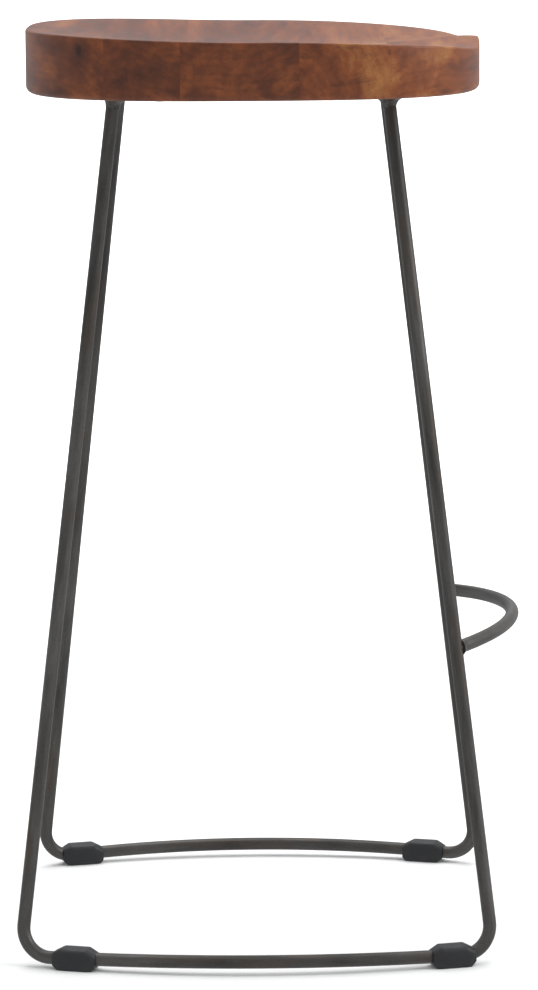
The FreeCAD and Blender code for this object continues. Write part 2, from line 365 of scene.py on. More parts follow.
def cut_away(piece, tool):
    """Takes one closed shape out of another."""
    apply_modifier(piece, "BOOLEAN", operation="DIFFERENCE", object=tool, solver="EXACT")


def ease_edges(piece, width, degrees):
    """Rounds every edge sharper than an angle, as rolling or moulding leaves it."""
    limit = math.radians(degrees)
    apply_modifier(piece, "BEVEL", width=width, segments=3, limit_method="ANGLE", angle_limit=limit)
    outward(piece)


def join(pieces, name):
    """Joins pieces into one."""
    deselect()
    for piece in pieces:
        piece.select_set(True)
    bpy.context.view_layer.objects.active = pieces[0]
    if len(pieces) > 1:
        bpy.ops.object.join()
    return named(name)


def copy_of(piece, name):
    """A copy with a mesh of its own."""
    made = piece.copy()
    made.data = piece.data.copy()
    bpy.context.scene.collection.objects.link(made)
    made.name = name
    made.data.name = name
    return made


def discard(*pieces):
    """Removes working shapes."""
    for piece in pieces:
        bpy.data.objects.remove(piece, do_unlink=True)


def hand_over(piece, slot, material, *nodes):
    """Gives a finished piece its material and its body, and hides the CAD nodes that it stands for."""
    piece.data.materials.clear()
    piece.data.materials.append(material)
    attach(piece, BODY)
    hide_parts(*nodes)


def extent(points):
    """Lowest and highest corner of the box round some points."""
    low = Vector([min(point[i] for point in points) for i in range(3)])
    high = Vector([max(point[i] for point in points) for i in range(3)])
    return low, high


def seat_box():
    """Lowest and highest corner of the whole seat."""
    return extent([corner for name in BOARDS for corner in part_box("seat_board_" + name)])


# ---------------------------------------------------------------- materials


def add_node(tree, kind, settings=None, take=None, **inputs):
    """Adds a node with its settings and links, and gives back one of its outputs.

    Inputs are named for their sockets, with _ for a space, and are values or links. Sockets that
    share a name take a list. The setting "stops" holds a colour ramp's places and colours. The
    output is the one that take names, or else the first.
    """
    made = tree.nodes.new("ShaderNode" + kind)
    for key, value in (settings or {}).items():
        if key == "stops":
            elements = made.color_ramp.elements
            while len(elements) < len(value):
                elements.new(0.5)
            for element, (place, tint) in zip(elements, value):
                element.position = place
                element.color = tint if hasattr(tint, "__len__") else (tint, tint, tint, 1.0)
        else:
            setattr(made, key, value)
    for key, given in inputs.items():
        sockets = [s for s in made.inputs if s.enabled and s.name == key.replace("_", " ")]
        for socket, value in zip(sockets, given if isinstance(given, list) else [given]):
            if isinstance(value, bpy.types.NodeSocket):
                tree.links.new(value, socket)
            else:
                socket.default_value = value
    if take:
        return made.outputs[take]
    return next((output for output in made.outputs if output.enabled), None)


def new_material(name):
    """An empty node material, and add_node for its own nodes."""
    material = bpy.data.materials.new(name)
    material.use_nodes = True
    material.node_tree.nodes.clear()
    return material, partial(add_node, material.node_tree)


def lacquered_mango(name, wood, log):
    """Mango wood, glued up, dished, sanded and clear lacquered.

    The grain runs from side to side, so the two sides of the seat show end grain and the top shows
    long figure. Growth rings circle each board's own pith. Heartwood is a mottled red-brown with
    dark mineral streaks, and beyond a certain ring the board turns to golden sapwood. Short open
    pores show as fine dashes, and the lacquer gives a soft gloss.
    """
    material, add = new_material(name)
    place = add("TexCoord", take="Object")
    moved = add(
        "Mapping",
        Vector=place,
        Location=(-log["pith"][0] * MM, log["along"], -log["pith"][1] * MM),
        Rotation=(log["lean"], 0.0, log["sway"]),
    )
    drawn_out = add("Mapping", Vector=moved, Scale=(1.0, 0.12, 1.0))
    warp = add("TexNoise", take="Color", Vector=drawn_out, Scale=1 / (45 * MM), Detail=3.0)
    centred = add("VectorMath", {"operation": "SUBTRACT"}, Vector=[warp, (0.5, 0.5, 0.5)])
    shift = add("VectorMath", {"operation": "SCALE"}, Vector=centred, Scale=26 * MM)
    waved = add("VectorMath", {"operation": "ADD"}, Vector=[drawn_out, shift])
    across = add("VectorMath", {"operation": "MULTIPLY"}, Vector=[waved, (1.0, 0.05, 1.0)])
    radius = add("VectorMath", {"operation": "LENGTH"}, take="Value", Vector=across)
    turns = add("Math", {"operation": "DIVIDE"}, Value=[radius, wood.ring_spacing])
    ring = add("Math", {"operation": "FRACT"}, Value=[turns])
    ring_shade = add(
        "ValToRGB",
        {"stops": ((0.0, 0.97), (0.45, 1.0), (0.86, 0.62), (0.93, 0.6), (1.0, 0.97))},
        Fac=ring,
    )

    # Mottle in the heartwood, in two sizes, drawn out along the grain.
    broad = add("TexNoise", Vector=waved, Scale=1 / (30 * MM), Detail=3.0, Roughness=0.55)
    blotch_place = add("Mapping", Vector=moved, Location=(0.3, 0.0, 0.1), Scale=(1.0, 0.2, 1.0))
    fine = add("TexNoise", Vector=blotch_place, Scale=1 / (9 * MM), Detail=4.0, Roughness=0.6)
    mottle = add("Mix", {"data_type": "FLOAT"}, Factor=0.3, A=broad, B=fine)
    sap = add(
        "MapRange",
        {"interpolation_type": "SMOOTHSTEP"},
        Value=radius,
        From_Min=(log["sapwood"] - 24) * MM,
        From_Max=(log["sapwood"] + 16) * MM,
        To_Min=log["tone"],
        To_Max=log["tone"] + 0.15,
    )
    tone = add("Math", {"operation": "ADD"}, Value=[mottle, sap])
    body = add(
        "ValToRGB",
        {"stops": ((0.3, wood.dark), (0.46, wood.heart), (0.61, wood.warm), (0.78, wood.pale))},
        Fac=tone,
    )
    ringed = add(
        "Mix", {"data_type": "RGBA", "blend_type": "MULTIPLY"}, Factor=0.3, A=body, B=ring_shade
    )

    # Dark mineral streaks, thin across the grain and long along it.
    streak_place = add("Mapping", Vector=waved, Location=(0.7, 0.1, 0.2), Scale=(0.45, 0.5, 1.3))
    streaks = add("TexNoise", Vector=streak_place, Scale=1 / (11 * MM), Detail=3.0, Roughness=0.5)
    streak_mask = add("ValToRGB", {"stops": ((0.57, 0.0), (0.72, 0.5))}, Fac=streaks)
    streaked = add("Mix", {"data_type": "RGBA"}, Factor=streak_mask, A=ringed, B=wood.dark)

    # Fibres, and open pores that are dots on end grain and dashes on the top.
    fibre_place = add("Mapping", Vector=moved, Scale=(1.0, 0.05, 1.0))
    fibres = add("TexNoise", Vector=fibre_place, Scale=1 / (1.1 * MM), Detail=2.0)
    fibre_shade = add("ValToRGB", {"stops": ((0.3, 0.84), (0.7, 1.0))}, Fac=fibres)
    fibred = add(
        "Mix", {"data_type": "RGBA", "blend_type": "MULTIPLY"}, Factor=0.8, A=streaked, B=fibre_shade
    )
    pore_place = add("Mapping", Vector=moved, Scale=(1.0, wood.pore_width / wood.pore_length, 1.0))
    pore_noise = add("TexNoise", Vector=pore_place, Scale=1 / (2.2 * wood.pore_width), Detail=0.0)
    pores = add("ValToRGB", {"stops": ((0.67, 0.0), (0.73, 0.3))}, Fac=pore_noise)
    surface_colour = add("Mix", {"data_type": "RGBA"}, Factor=pores, A=fibred, B=wood.dark)
    if log["knot"]:
        surface_colour = pin_knot(add, wood, place, surface_colour, log["knot"])

    gloss = add("ValToRGB", {"stops": ((0.3, 0.44), (0.7, 0.54))}, Fac=fine)
    relief = add("Math", {"operation": "SUBTRACT"}, Value=[fibres, pores])
    bump = add("Bump", Strength=0.2, Distance=0.12 * MM, Height=relief)
    surface = add(
        "BsdfPrincipled",
        Base_Color=surface_colour,
        Roughness=gloss,
        Normal=bump,
        IOR=1.5,
        Specular_IOR_Level=0.3,
        Coat_Weight=0.15,
        Coat_Roughness=0.3,
        Coat_IOR=1.5,
    )
    add("OutputMaterial", Surface=surface)
    return material


def pin_knot(add, wood, place, surface_colour, knot):
    """A small dark knot and its halo, seen on the end grain."""
    away = add(
        "VectorMath", {"operation": "SUBTRACT"}, Vector=[place, tuple(part * MM for part in knot)]
    )
    rough = add("TexNoise", take="Color", Vector=away, Scale=1 / (3 * MM), Detail=2.0)
    wobble = add("VectorMath", {"operation": "SCALE"}, Vector=rough, Scale=2.2 * MM)
    uneven = add("VectorMath", {"operation": "ADD"}, Vector=[away, wobble])
    flat = add("VectorMath", {"operation": "MULTIPLY"}, Vector=[uneven, (1.0, 0.1, 0.62)])
    distance = add("VectorMath", {"operation": "LENGTH"}, take="Value", Vector=flat)
    steps = add("Math", {"operation": "DIVIDE"}, Value=[distance, 14 * MM])
    mask = add("ValToRGB", {"stops": ((0.1, 0.92), (0.24, 0.45), (0.75, 0.0))}, Fac=steps)
    return add("Mix", {"data_type": "RGBA"}, Factor=mask, A=surface_colour, B=wood.knot)


def blackened_steel(name, iron, pattern, stretch=(1.0, 1.0, 0.12)):
    """Mild steel, blackened, rubbed back and clear lacquered.

    The blackening is uneven, so the skin is mottled between near black and gun-metal grey with
    faint brown patches, drawn out along the rod or bar. pattern is an attribute that follows a
    rod, or None for a bar, which takes the object's own coordinates.
    """
    material, add = new_material(name)
    if pattern:
        place = add("Attribute", {"attribute_name": pattern}, take="Vector")
    else:
        place = add("TexCoord", take="Object")
    drawn = add("Mapping", Vector=place, Scale=stretch)
    mottle = add("TexNoise", Vector=drawn, Scale=1 / iron.mottle, Detail=5.0, Roughness=0.62)
    skin = add("ValToRGB", {"stops": ((0.36, iron.dark), (0.66, iron.bright))}, Fac=mottle)
    brown_place = add("Mapping", Vector=drawn, Location=(0.4, 0.2, 0.1))
    browning = add("TexNoise", Vector=brown_place, Scale=1 / (9 * MM), Detail=4.0, Roughness=0.6)
    brown_mask = add("ValToRGB", {"stops": ((0.48, 0.0), (0.66, 0.85))}, Fac=browning)
    tinted = add("Mix", {"data_type": "RGBA"}, Factor=brown_mask, A=skin, B=iron.brown)
    grain = add("TexNoise", Vector=place, Scale=1 / (1.6 * MM), Detail=3.0)
    grain_shade = add("ValToRGB", {"stops": ((0.3, 0.76), (0.7, 1.0))}, Fac=grain)
    grained = add(
        "Mix", {"data_type": "RGBA", "blend_type": "MULTIPLY"}, Factor=0.7, A=tinted, B=grain_shade
    )
    rough = add("ValToRGB", {"stops": ((0.3, 0.55), (0.7, 0.4))}, Fac=mottle)
    bump = add("Bump", Strength=0.35, Distance=0.1 * MM, Height=grain)
    surface = add(
        "BsdfPrincipled",
        Base_Color=grained,
        Roughness=rough,
        Normal=bump,
        Metallic=0.7,
        Coat_Weight=0.25,
        Coat_Roughness=0.35,
    )
    add("OutputMaterial", Surface=surface)
    return material


def moulded_polyethylene(name, glide):
    """Black polyethylene, injection moulded.

    Matt from the spark-eroded mould, with grey scuffs low down where it rubs the floor.
    """
    material, add = new_material(name)
    place = add("TexCoord", take="Object")
    texture = add("TexNoise", Vector=place, Scale=1 / (0.7 * MM), Detail=2.0)
    scuff_place = add("Mapping", Vector=place, Scale=(0.25, 1.0, 1.0))
    scuffs = add("TexNoise", Vector=scuff_place, Scale=1 / (3 * MM), Detail=4.0, Roughness=0.7)
    height = add("SeparateXYZ", take="Z", Vector=place)
    low = add("MapRange", Value=height, From_Min=0.0, From_Max=9 * MM, To_Min=1.0, To_Max=0.3)
    worn = add("ValToRGB", {"stops": ((0.48, 0.0), (0.75, 0.8))}, Fac=scuffs)
    worn_low = add("Math", {"operation": "MULTIPLY"}, Value=[worn, low])
    tint = add("Mix", {"data_type": "RGBA"}, Factor=worn_low, A=glide.black, B=glide.scuffed)
    rough = add("ValToRGB", {"stops": ((0.3, 0.4), (0.7, 0.6))}, Fac=scuffs)
    bump = add("Bump", Strength=0.2, Distance=0.08 * MM, Height=texture)
    surface = add("BsdfPrincipled", Base_Color=tint, Roughness=rough, Normal=bump, IOR=1.5)
    add("OutputMaterial", Surface=surface)
    return material


def zinc_plate(name, screw):
    """Steel screw, bright zinc plated: pale grey with a dull bloom."""
    material, add = new_material(name)
    place = add("TexCoord", take="Object")
    bloom = add("TexNoise", Vector=place, Scale=1 / (2 * MM), Detail=3.0)
    tint = add("ValToRGB", {"stops": ((0.35, screw.zinc), (0.65, screw.bright_zinc))}, Fac=bloom)
    rough = add("ValToRGB", {"stops": ((0.3, 0.28), (0.7, 0.45))}, Fac=bloom)
    surface = add("BsdfPrincipled", Base_Color=tint, Roughness=rough, Metallic=1.0)
    add("OutputMaterial", Surface=surface)
    return material


def studio_paper(studio):
    """Matt white background paper, very slightly uneven."""
    material, add = new_material("studio_paper")
    place = add("TexCoord", take="Object")
    mottle = add("TexNoise", Vector=place, Scale=2.5, Detail=2.0)
    dull = tuple(part * 0.985 for part in studio.paper[:3]) + (1.0,)
    tint = add("ValToRGB", {"stops": ((0.3, dull), (0.7, studio.paper))}, Fac=mottle)
    surface = add("BsdfPrincipled", Base_Color=tint, Roughness=0.9)
    add("OutputMaterial", Surface=surface)
    return material


# ---------------------------------------------------------------- the seat


OUTLINE_POINTS = 192
# Rings on the seat's top as shares of its outline, close together at the rim.
TOP_RINGS = [1.0, 0.982, 0.96] + [0.93 - 0.035 * i for i in range(26)]


def even_step(value):
    """0 below 0, 1 above 1, and an even slope between them."""
    held = min(max(value, 0.0), 1.0)
    return held * held * (3 - 2 * held)


def outline_ring(seat, half, x, y):
    """0 in the middle of the seat, 1 on its outline."""
    across = abs(x / half.x) ** seat.squareness
    along = abs(y / half.y) ** seat.squareness
    return (across + along) ** (1 / seat.squareness)


def dished_height(seat, half, top, x, y):
    """Height of the dished top, x and y counted from the middle of the seat."""
    hollow = max(1 - outline_ring(seat, half, x, y) ** 4, 0.0) ** 2
    forward = max(x / half.x, 0.0)
    drop = seat.side_drop * even_step(1 + x / half.x) + seat.front_drop * forward**2
    blend = even_step(forward)
    thigh_place = (abs(y) - seat.thigh_offset) / seat.thigh_spread
    thigh = seat.thigh_depth * blend * math.exp(-(thigh_place**2))
    pommel = seat.pommel_rise * blend * math.exp(-((y / seat.pommel_spread) ** 2))
    waviness = seat.sanding * hollow * noise.noise(Vector((x, y, 0)) / (55 * MM))
    return top - seat.dish_depth * hollow - drop - thigh + pommel + waviness


def dished_blank(seat):
    """The whole seat before it is sawn apart.

    A disc is pulled to the outline, raised, ringed inwards, dished and rounded at both edges.
    """
    low, high = seat_box()
    half = (high - low) / 2
    deselect()
    bpy.ops.mesh.primitive_circle_add(vertices=OUTLINE_POINTS, radius=1, fill_type="NGON")
    blank = named("seat_blank")
    for vertex in blank.data.vertices:
        reach = 1 / outline_ring(seat, half, vertex.co.x, vertex.co.y)
        vertex.co = (vertex.co.x * reach, vertex.co.y * reach, low.z)
    bpy.ops.object.mode_set(mode="EDIT")
    bpy.ops.mesh.select_all(action="SELECT")
    extrude((0, 0, high.z - low.z))
    for outer, inner in zip(TOP_RINGS, TOP_RINGS[1:]):
        extrude((0, 0, 0))
        scale_about((0, 0, high.z), inner / outer, inner / outer, 1)
    bpy.ops.mesh.poke()
    bpy.ops.object.mode_set(mode="OBJECT")
    halfway = (low.z + high.z) / 2
    for vertex in blank.data.vertices:
        if vertex.co.z > halfway:
            vertex.co.z = dished_height(seat, half, high.z, vertex.co.x, vertex.co.y)

    def on_rim(point):
        return outline_ring(seat, half, point.x, point.y) > 0.995

    edit(blank)
    bevel_where(
        blank, lambda a, b: on_rim(a) and on_rim(b) and min(a.z, b.z) > halfway, seat.top_radius, 4
    )
    bevel_where(
        blank, lambda a, b: on_rim(a) and on_rim(b) and max(a.z, b.z) < halfway, seat.bottom_radius, 6
    )
    bpy.ops.object.mode_set(mode="OBJECT")
    blank.location = ((low.x + high.x) / 2, (low.y + high.y) / 2, 0)
    settle(blank)
    outward(blank)
    return blank


# How each board lay in its log. pith is where the log's middle was, in millimetres along X and up,
# and along is how far down the log it was sawn, in metres. lean and sway are the grain's slopes,
# sapwood is the ring radius in millimetres where heartwood ends, tone is how light the board is,
# and knot is where a pin knot shows, in millimetres.
LOG_FACTS = ("pith", "along", "lean", "sway", "sapwood", "tone", "knot")
LOG_ROWS = {
    "back": ((-205, 640), 0.3, 0.02, 0.03, 150, 0.0, (-150.5, -158, 748.5)),
    "rear_middle": ((-130, 655), 0.9, -0.03, -0.02, 140, -0.03, None),
    "middle": ((-30, 820), 1.7, 0.02, 0.03, 150, 0.0, None),
    "front_middle": ((5, 690), 2.6, -0.02, 0.02, 82, 0.01, None),
    "front": ((150, 590), 3.4, 0.02, -0.03, 230, 0.1, None),
}
LOGS = {name: dict(zip(LOG_FACTS, row)) for name, row in LOG_ROWS.items()}


class STOOL_OT_seat_boards(bpy.types.Operator):
    """Models the dished seat and saws it into its glued boards, each with its own figure"""

    bl_idname = "stool.seat_boards"
    bl_label = "Seat boards"

    def execute(self, context):
        blank = dished_blank(context.scene.stool_seat)
        for index, name in enumerate(BOARDS):
            node_name = "seat_board_" + name
            low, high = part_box(node_name)
            board = copy_of(blank, node_name + "_lacquered")
            if index > 0:
                cut_flat(board, (low.x, 0, 0), (1, 0, 0), clear_inner=True)
            if index < len(BOARDS) - 1:
                cut_flat(board, (high.x, 0, 0), (1, 0, 0), clear_outer=True)
            outward(board)
            smooth(board)
            material = lacquered_mango("lacquered_mango_" + name, context.scene.stool_wood, LOGS[name])
            hand_over(board, "wood", material, node_name)
        discard(blank)
        return {"FINISHED"}


# ---------------------------------------------------------------- the rods


ROD_POINTS = 32             # round each rod
SHORTEST_RUN = 0.1 * MM     # a straight run shorter than this is left out


def seat_middle():
    """X of the middle of the seat, which the frame's places are counted from."""
    low, high = seat_box()
    return (low.x + high.x) / 2


def leg_top(steel, front, side):
    """Middle of a leg where it meets the underside of its bar."""
    x = steel.top_front if front else -steel.top_back
    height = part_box("side_bar_left")[0].z
    return Vector((seat_middle() + x, side * steel.top_spread, height))


def floor_corner(steel, front, side):
    """Where the middle lines of a leg and its floor rail cross."""
    x = steel.foot_front if front else -steel.foot_back
    return Vector((seat_middle() + x, side * steel.foot_spread, steel.corner_height))


def leg_down(steel, front, side):
    """The way down a leg."""
    return (floor_corner(steel, front, side) - leg_top(steel, front, side)).normalized()


def rail_turn(steel):
    """How far each end of a floor rail turns outward."""
    rise = math.hypot(steel.bow, steel.arch)
    half_span = (steel.foot_back + steel.foot_front) / 2
    return 2 * math.atan(rise / (half_span + steel.straight))


def rail_heading(steel, front, side):
    """Along the straight end of a floor rail, away from its corner."""
    turn = rail_turn(steel)
    tilt = math.atan2(steel.arch, steel.bow)
    forward = -1 if front else 1
    out = math.sin(turn)
    return Vector((forward * math.cos(turn), side * out * math.cos(tilt), out * math.sin(tilt)))


def bend_rod(name, rod, corners, radii, steps):
    """A rod run straight between corners and bent round each one, as on a bending jig.

    Each point also keeps where it is along and round the rod, for the finish to follow.
    """
    headings = [(b - a).normalized() for a, b in zip(corners, corners[1:])]
    piece = open_ring(name, corners[0], headings[0], rod / 2, ROD_POINTS)
    place = corners[0]
    stations = [(place.copy(), 0.0)]
    for index, radius in enumerate(radii):
        before, after = headings[index], headings[index + 1]
        bend = before.angle(after)
        axis = before.cross(after).normalized()
        start = corners[index + 1] - before * (radius * math.tan(bend / 2))
        centre = start + axis.cross(before) * radius
        if (start - place).length > SHORTEST_RUN:
            extrude(start - place)
            stations.append((start, stations[-1][1] + (start - place).length))
        bpy.ops.mesh.spin(steps=steps[index], angle=-bend, center=centre, axis=axis)
        for step in range(1, steps[index] + 1):
            part = bend / steps[index]
            spoke = Matrix.Rotation(part * step, 3, axis) @ (start - centre)
            stations.append((centre + spoke, stations[-1][1] + radius * part))
        place = stations[-1][0]
    if (corners[-1] - place).length > SHORTEST_RUN:
        extrude(corners[-1] - place)
        stations.append((corners[-1], stations[-1][1] + (corners[-1] - place).length))
    cap_ends()
    bpy.ops.object.mode_set(mode="OBJECT")
    run = piece.data.attributes.new("rod_run", "FLOAT_VECTOR", "POINT")
    for vertex in piece.data.vertices:
        middle, along = min(stations, key=lambda s: (s[0] - vertex.co).length_squared)
        off = vertex.co - middle
        run.data[vertex.index].vector = (off.x + off.z, off.y, along)
    outward(piece)
    return piece


def side_rod(steel, side):
    """One side's rod: back leg, bowed floor rail and front leg, its tops sawn off level."""
    turn = rail_turn(steel)
    half_span = (steel.foot_back + steel.foot_front) / 2
    back = floor_corner(steel, False, side)
    to_peak = half_span / math.cos(turn)
    peak = back + rail_heading(steel, False, side) * to_peak
    front = floor_corner(steel, True, side)
    spare = 10 * MM
    corners = [
        leg_top(steel, False, side) - leg_down(steel, False, side) * spare,
        back,
        peak,
        front,
        leg_top(steel, True, side) - leg_down(steel, True, side) * spare,
    ]
    bow_radius = (to_peak - steel.straight) / math.tan(turn)
    name = "side_frame_%s_bent" % ("left" if side > 0 else "right")
    rod = bend_rod(name, steel.rod, corners, (steel.bend, bow_radius, steel.bend), (14, 24, 14))
    cut_flat(rod, leg_top(steel, True, side), (0, 0, 1), clear_outer=True)
    outward(rod)
    return rod


def footrest_ends(steel):
    """Where the footrest's middle line meets the middle lines of the front legs."""
    ends = {}
    for side in (-1, 1):
        top = leg_top(steel, True, side)
        low = floor_corner(steel, True, side)
        share = (steel.footrest_height - low.z) / (top.z - low.z)
        ends[side] = low.lerp(top, share)
    return ends


def footrest_peak(steel):
    """Where the tangents at the two ends of the footrest cross."""
    ends = footrest_ends(steel)
    top = leg_top(steel, True, 1)
    low = floor_corner(steel, True, 1)
    lean = math.atan2(low.x - top.x, top.z - low.z)
    forward = Vector((math.cos(lean), 0, math.sin(lean)))
    half_chord = (ends[1] - ends[-1]).length / 2
    half_turn = 2 * math.atan(steel.footrest_reach / half_chord)
    return (ends[-1] + ends[1]) / 2 + forward * (half_chord * math.tan(half_turn))


def footrest_rod(steel):
    """The footrest's bow, from just short of the middle of one leg to the same at the other."""
    ends = footrest_ends(steel)
    peak = footrest_peak(steel)
    short = {side: end + (peak - end).normalized() * (0.5 * MM) for side, end in ends.items()}
    setback = (peak - short[1]).length
    half_turn = (peak - ends[-1]).angle(ends[1] - peak) / 2
    radius = setback / math.tan(half_turn)
    return bend_rod("footrest_bow_bent", steel.rod, [short[-1], peak, short[1]], (radius,), (40,))


class STOOL_OT_rods(bpy.types.Operator):
    """Bends the two side frames and the footrest from round rod"""

    bl_idname = "stool.rods"
    bl_label = "Bent rods"

    def execute(self, context):
        steel = context.scene.stool_frame
        material = blackened_steel("blackened_rod", context.scene.stool_iron, "rod_run")
        rods = {side: side_rod(steel, side) for side in (-1, 1)}
        bow = footrest_rod(steel)
        for rod in rods.values():
            cut_away(bow, rod)
        smooth(bow)
        hand_over(bow, "frame_metal", material, "footrest_bow")
        for name, side in SIDES.items():
            smooth(rods[side])
            hand_over(rods[side], "frame_metal", material, "side_frame_" + name)
        return {"FINISHED"}


# ---------------------------------------------------------------- the seat mount


def loose_middles(node_name):
    """The middle of each separate solid in a CAD node."""
    only(frame["nodes"][node_name])
    bpy.ops.object.duplicate()
    working = named(node_name + "_working")
    outward(working)
    edit(working)
    bpy.ops.mesh.separate(type="LOOSE")
    bpy.ops.object.mode_set(mode="OBJECT")
    parts = list(bpy.context.selected_objects)
    middles = []
    for part in parts:
        low, high = extent([vertex.co for vertex in part.data.vertices])
        middles.append((low + high) / 2)
    discard(*parts)
    return middles


def flat_bar(node_name, weld, corner, places):
    """A flat bar cut to length, its corners rounded and its screw holes drilled."""
    low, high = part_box(node_name)
    bar = block(node_name + "_rolled", (low + high) / 2, high - low)
    edit(bar)
    if corner:
        bevel_where(bar, lambda a, b: abs(a.z - b.z) > 1 * MM, corner, 6)
    deselect()
    for place in places:
        if low.x < place.x < high.x and low.y < place.y < high.y:
            bpy.ops.mesh.primitive_cylinder_add(
                vertices=24,
                radius=weld.screw_hole / 2,
                depth=4 * (high.z - low.z),
                location=(place.x, place.y, low.z),
            )
            drill = named("drill")
            cut_away(bar, drill)
            discard(drill)
    ease_edges(bar, weld.bar_edge, 40)
    smooth(bar)
    return bar


class STOOL_OT_seat_mount(bpy.types.Operator):
    """Makes the flat bars that carry the seat"""

    bl_idname = "stool.seat_mount"
    bl_label = "Seat mount"

    def execute(self, context):
        weld = context.scene.stool_weld
        iron = context.scene.stool_iron
        places = loose_middles("seat_screws")
        along = blackened_steel("hot_rolled_side_bar", iron, None, (0.12, 1.0, 1.0))
        across = blackened_steel("hot_rolled_cross_bar", iron, None, (1.0, 0.12, 1.0))
        for name in SIDES:
            bar = flat_bar("side_bar_" + name, weld, weld.bar_corner, places)
            hand_over(bar, "frame_metal", along, "side_bar_" + name)
        for end in ("back", "front"):
            bar = flat_bar("cross_bar_" + end, weld, 0, places)
            hand_over(bar, "frame_metal", across, "cross_bar_" + end)
        return {"FINISHED"}


# ---------------------------------------------------------------- welds


BEAD_POINTS = 72            # round each bead
LEG_RINGS = 10              # along each leg bead
FOOT_RINGS = 8              # along each footrest bead
HOLLOW_TURN = 0.97          # how much of a quarter circle a leg bead's hollow face follows
HOLLOW_RISE = 0.757         # the rise of that much of it, as a share of its radius
DRAWN_IN = 0.85             # how thin a back leg's bead is behind, 1 for nothing left
UP = Vector((0, 0, 1))


def bead(start, heading, rings):
    """Weld metal laid in rings: (distance along the heading, radius) for each ring."""
    piece = open_ring("bead", start + heading * rings[0][0], heading, rings[0][1], BEAD_POINTS)
    for (before, radius_before), (after, radius_after) in zip(rings, rings[1:]):
        extrude(heading * (after - before))
        share = radius_after / radius_before
        scale_about(start + heading * after, share, share, share)
    cap_ends()
    outward(piece)
    return piece


def ripple_round(weld, piece, start, heading, inner):
    """Raises the ripples that the torch leaves as it goes round a joint."""
    side = heading.orthogonal().normalized()
    other = heading.cross(side)
    for vertex in piece.data.vertices:
        off = vertex.co - start
        flat = off - heading * off.dot(heading)
        if flat.length < inner:
            continue
        around = math.atan2(flat.dot(other), flat.dot(side)) * inner
        wave = abs(math.sin(math.pi * (around + 0.6 * off.dot(heading)) / weld.ripple))
        lump = noise.noise(vertex.co / (5 * MM))
        swell = weld.ripple_height * (wave - 0.6 + 1.6 * lump)
        vertex.co += flat.normalized() * swell


def thin_behind(piece, start, inner):
    """Draws in the back half of a bead, which the torch reaches least."""
    for vertex in piece.data.vertices:
        flat = Vector((vertex.co.x - start.x, vertex.co.y - start.y, 0))
        if flat.length <= inner:
            continue
        behind = max(0.0, -flat.x / flat.length) ** 0.5
        wanted = inner + (flat.length - inner) * (1 - DRAWN_IN * behind)
        vertex.co += flat * (wanted / flat.length - 1)


def leg_beads(steel, weld):
    """A hollow-faced bead round each leg top, spreading up to the bar."""
    radius = steel.rod / 2
    made = []
    for side in (-1, 1):
        for front in (False, True):
            top = leg_top(steel, front, side)
            low = top + leg_down(steel, front, side) * weld.leg_height
            start = Vector((top.x * 0.5 + low.x * 0.5, top.y * 0.5 + low.y * 0.5, low.z))
            toe = radius + 0.4 * MM
            rings = []
            for step in range(LEG_RINGS + 1):
                share = step / LEG_RINGS
                hollow = (1 - math.sqrt(1 - (HOLLOW_TURN * share) ** 2)) / HOLLOW_RISE
                rings.append((share * (top.z - low.z), toe + weld.leg_spread * hollow))
            piece = bead(start, UP, rings)
            ripple_round(weld, piece, start, UP, radius + 1 * MM)
            if not front:
                thin_behind(piece, start, toe)
            for vertex in piece.data.vertices:
                vertex.co.z = min(vertex.co.z, top.z)
            made.append(piece)
    return made


def footrest_beads(steel, weld):
    """A bead round each end of the footrest, against its leg."""
    peak = footrest_peak(steel)
    radius = steel.rod / 2
    made = []
    for end in footrest_ends(steel).values():
        heading = (peak - end).normalized()
        begin = 0.6 * radius
        reach = radius + weld.foot_reach
        rings = []
        for step in range(FOOT_RINGS + 1):
            share = step / FOOT_RINGS
            spread = weld.foot_spread * (1 - share) ** 1.6
            rings.append((begin + share * (reach - begin), radius + spread + 0.1 * MM))
        piece = bead(end, heading, rings)
        ripple_round(weld, piece, end, heading, radius + 0.8 * MM)
        made.append(piece)
    return made


def bar_beads(weld):
    """A low bead along each butt joint of the bars, on the underside."""
    made = []
    for bar_end in ("back", "front"):
        low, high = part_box("cross_bar_" + bar_end)
        for y in (low.y, high.y):
            run = high.x - low.x - 2 * MM
            count = round(run / (weld.ripple / 4))
            rings = []
            for step in range(count + 1):
                share = step / count
                taper = min(1.0, 4 * share + 0.3, 4 * (1 - share) + 0.3)
                swell = 1 + 0.08 * abs(math.sin(math.pi * step / 4))
                rings.append((1 * MM + share * run, taper * swell * weld.bar_width / 2))
            piece = bead(Vector((low.x, y, 0)), Vector((1, 0, 0)), rings)
            flatten = 0.92 * weld.bar_height / (weld.bar_width / 2)
            for vertex in piece.data.vertices:
                vertex.co.z = low.z + min(vertex.co.z * flatten, 0.0)
                vertex.co.y = y + (vertex.co.y - y) * 0.9
            outward(piece)
            made.append(piece)
    return made


class STOOL_OT_weld_beads(bpy.types.Operator):
    """Lays the weld beads at the leg tops, the footrest's ends and the cross bars"""

    bl_idname = "stool.weld_beads"
    bl_label = "Weld beads"

    def execute(self, context):
        steel = context.scene.stool_frame
        weld = context.scene.stool_weld
        material = blackened_steel("blackened_weld", context.scene.stool_iron, None, (3, 3, 3))
        rods = [bpy.data.objects["side_frame_%s_bent" % name] for name in SIDES]
        beads = {
            "leg_top_welds": leg_beads(steel, weld),
            "footrest_welds": footrest_beads(steel, weld),
            "bar_welds": bar_beads(weld),
        }
        for node_name, parts in beads.items():
            laid = join(parts, node_name + "_laid")
            if node_name != "bar_welds":
                for rod in rods:
                    cut_away(laid, rod)
            smooth(laid, 50)
            hand_over(laid, "frame_metal", material, node_name)
        return {"FINISHED"}


# ---------------------------------------------------------------- screws


